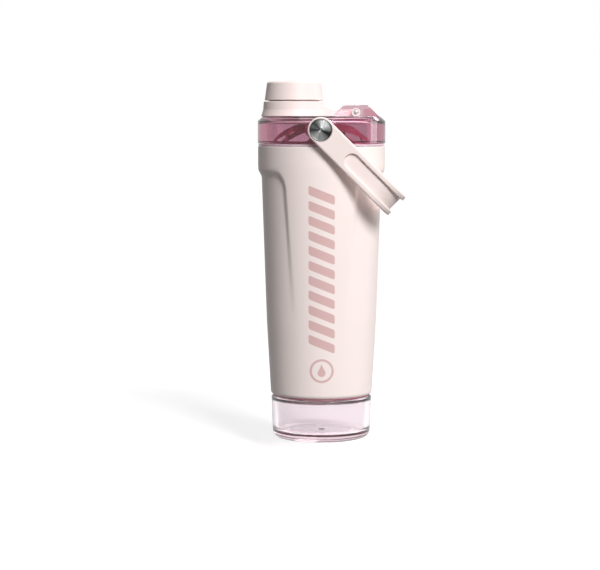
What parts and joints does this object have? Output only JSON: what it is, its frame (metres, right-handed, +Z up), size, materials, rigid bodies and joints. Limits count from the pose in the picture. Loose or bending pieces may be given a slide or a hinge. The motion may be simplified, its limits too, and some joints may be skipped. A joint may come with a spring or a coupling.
{
  "type": "protein shaker bottle",
  "caption": "Insulated steel shaker bottle with grip recesses, clear screw lid with fluted agitator, flip-and-twist spout cap, swinging handle and clear screw-on storage cup.",
  "frame": {"origin": "middle of the bottom of the storage cup, on the surface that the bottle stands on", "axes": "+Z up along the bottle's axis; the spout is towards -X, the cap's hinge and the resting handle towards +X; the handle turns about an axis along Y"},
  "size_m": [0.0979, 0.0978, 0.2391],
  "materials": {
    "powder_coat": "pale blush powder coat, fine eggshell grain",
    "blush_plastic": "pale blush moulded plastic, satin",
    "rose_clear": "clear rose-tinted copolyester, polished",
    "deep_rose_clear": "deep rose clear copolyester, polished",
    "pale_clear": "clear copolyester with a faint pink tint, polished",
    "steel": "brushed 18/8 stainless steel",
    "turned_steel": "lathe-turned stainless steel face with a circular grain",
    "brass": "knurled brass, satin",
    "silicone": "pale pink food-grade silicone, matt",
    "white_plastic": "natural white polypropylene or nylon"
  },
  "bodies": {
    "bottle": {"outer_shell": "powder_coat", "inner_liner": "steel", "vacuum_base": "steel", "vacuum_plug": "steel", "getter": "steel", "base_adapter": "blush_plastic"},
    "lid_slide": {"lid_gasket": "silicone"},
    "lid": {"lid_body": "rose_clear", "agitator": "deep_rose_clear", "hinge_pin": "steel", "pivot_bush_front": "white_plastic", "pivot_bush_rear": "white_plastic", "pivot_screw_front": "steel", "pivot_screw_rear": "steel", "pivot_insert_front": "brass", "pivot_insert_rear": "brass", "pivot_cap_front": "turned_steel", "pivot_cap_rear": "turned_steel"},
    "hinge_link": {"hinge_ring": "blush_plastic"},
    "cap": {"cap_shell": "blush_plastic", "cap_insert": "white_plastic", "cap_seal": "silicone"},
    "handle": {"handle": "blush_plastic"},
    "cup_slide": {"cup_seal": "silicone"},
    "cup": {"storage_cup": "pale_clear"}
  },
  "joints": [
    {"name": "lid_lift", "type": "slide", "parent": "bottle", "child": "lid_slide", "axis": [0, 0, 1], "range_m": [0, 0.014]},
    {"name": "lid_turn", "type": "hinge", "parent": "lid_slide", "child": "lid", "pos_m": [0, 0, 0.1974], "axis": [0, 0, 1], "range_deg": [0, 631]},
    {"name": "cap_flip", "type": "hinge", "parent": "lid", "child": "hinge_link", "pos_m": [0.0229, 0, 0.2185], "axis": [0, 1, 0], "range_deg": [0, 130]},
    {"name": "cap_twist", "type": "hinge", "parent": "hinge_link", "child": "cap", "pos_m": [-0.0184, 0, 0.2274], "axis": [0, 0, -1], "range_deg": [0, 90]},
    {"name": "handle_swing", "type": "hinge", "parent": "lid", "child": "handle", "pos_m": [0, 0, 0.2068], "axis": [0, -1, 0], "range_deg": [0, 270]},
    {"name": "cup_drop", "type": "slide", "parent": "bottle", "child": "cup_slide", "axis": [0, 0, -1], "range_m": [0, 0.01]},
    {"name": "cup_turn", "type": "hinge", "parent": "cup_slide", "child": "cup", "pos_m": [0, 0, 0.0323], "axis": [0, 0, -1], "range_deg": [0, 451]}
  ],
  "couplings": [
    {"joint": "lid_turn", "follows": "lid_lift", "rad_per_m": 785.4},
    {"joint": "cup_turn", "follows": "cup_drop", "rad_per_m": 785.4}
  ]
}
